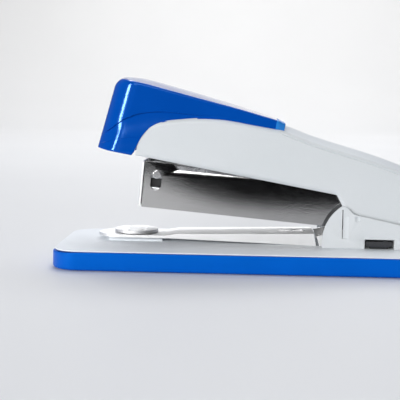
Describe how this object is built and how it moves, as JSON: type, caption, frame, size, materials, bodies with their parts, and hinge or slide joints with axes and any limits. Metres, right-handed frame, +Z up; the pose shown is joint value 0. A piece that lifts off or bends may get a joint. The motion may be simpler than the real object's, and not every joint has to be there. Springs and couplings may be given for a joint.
{
  "type": "desktop stapler",
  "caption": "Hand-pressed desktop stapler: light cover with blue nose cap, plated steel staple magazine and anvil channel on a low base with a blue rim.",
  "frame": {"origin": "middle of the rest face under the base, at the bottom of the rubber feet", "axes": "+Z up, -X towards the stapler's nose where the paper goes in, +X towards the hinge end, Y across"},
  "size_m": [0.1452, 0.05, 0.0617],
  "materials": {
    "blue_plastic": "glossy moulded blue plastic",
    "light_plastic": "satin moulded light grey plastic",
    "natural_plastic": "natural bearing plastic",
    "black_plastic": "black moulded plastic",
    "rubber": "black rubber",
    "plated_steel": "satin nickel-plated sheet steel",
    "staple_wire": "galvanised staple wire",
    "spring_steel": "tempered spring steel",
    "hard_steel": "hardened dark steel",
    "bright_steel": "bright zinc-plated steel"
  },
  "bodies": {
    "base": {"bumper_tray": "blue_plastic", "deck": "light_plastic", "rubber_feet": "rubber", "deck_screws": "bright_steel", "anvil_channel": "plated_steel", "channel_rivets": "bright_steel", "hinge_yoke": "plated_steel", "yoke_rivets": "bright_steel", "hinge_housing": "light_plastic", "side_clips": "hard_steel", "pivot_pin": "bright_steel", "magazine_spring": "spring_steel"},
    "anvil": {"anvil_plate": "plated_steel", "anvil_stem": "hard_steel", "anvil_spring": "spring_steel"},
    "magazine": {"magazine": "plated_steel", "magazine_front": "plated_steel", "nose_guide": "plated_steel", "guide_block": "black_plastic", "guide_rivet": "bright_steel", "staple_rail": "plated_steel", "staple_strip": "staple_wire", "guide_rod": "bright_steel", "rod_stop": "hard_steel", "pusher_spring": "spring_steel"},
    "pusher": {"pusher": "hard_steel"},
    "handle": {"handle_frame": "plated_steel", "driver_blade": "hard_steel", "frame_rivets": "bright_steel", "handle_spring": "spring_steel", "handle_pin": "bright_steel", "pivot_bushes": "natural_plastic", "top_cover": "light_plastic", "nose_cap": "blue_plastic", "shell_screws": "bright_steel"}
  },
  "joints": [
    {"name": "magazine_hinge", "type": "hinge", "parent": "base", "child": "magazine", "pos_m": [0.038, 0, 0.016], "axis": [0, -1, 0], "range_deg": [0, 5.5], "stiffness_Nm_per_rad": 1.2, "springref_deg": -5.73, "deforming": ["magazine_spring"]},
    {"name": "handle_hinge", "type": "hinge", "parent": "magazine", "child": "handle", "pos_m": [0.058, 0, 0.017], "axis": [0, -1, 0], "range_deg": [-75, 5.2], "stiffness_Nm_per_rad": 3.5, "deforming": ["handle_spring"]},
    {"name": "pusher_slide", "type": "slide", "parent": "magazine", "child": "pusher", "axis": [0.9963, 0, -0.0861], "range_m": [0, 0.03], "stiffness_N_per_m": 25, "springref_m": -0.03, "deforming": ["pusher_spring"]},
    {"name": "anvil_turn", "type": "hinge", "parent": "base", "child": "anvil", "pos_m": [-0.0473, 0, 0.0105], "axis": [0, 0, 1], "range_deg": [0, 180]}
  ]
}
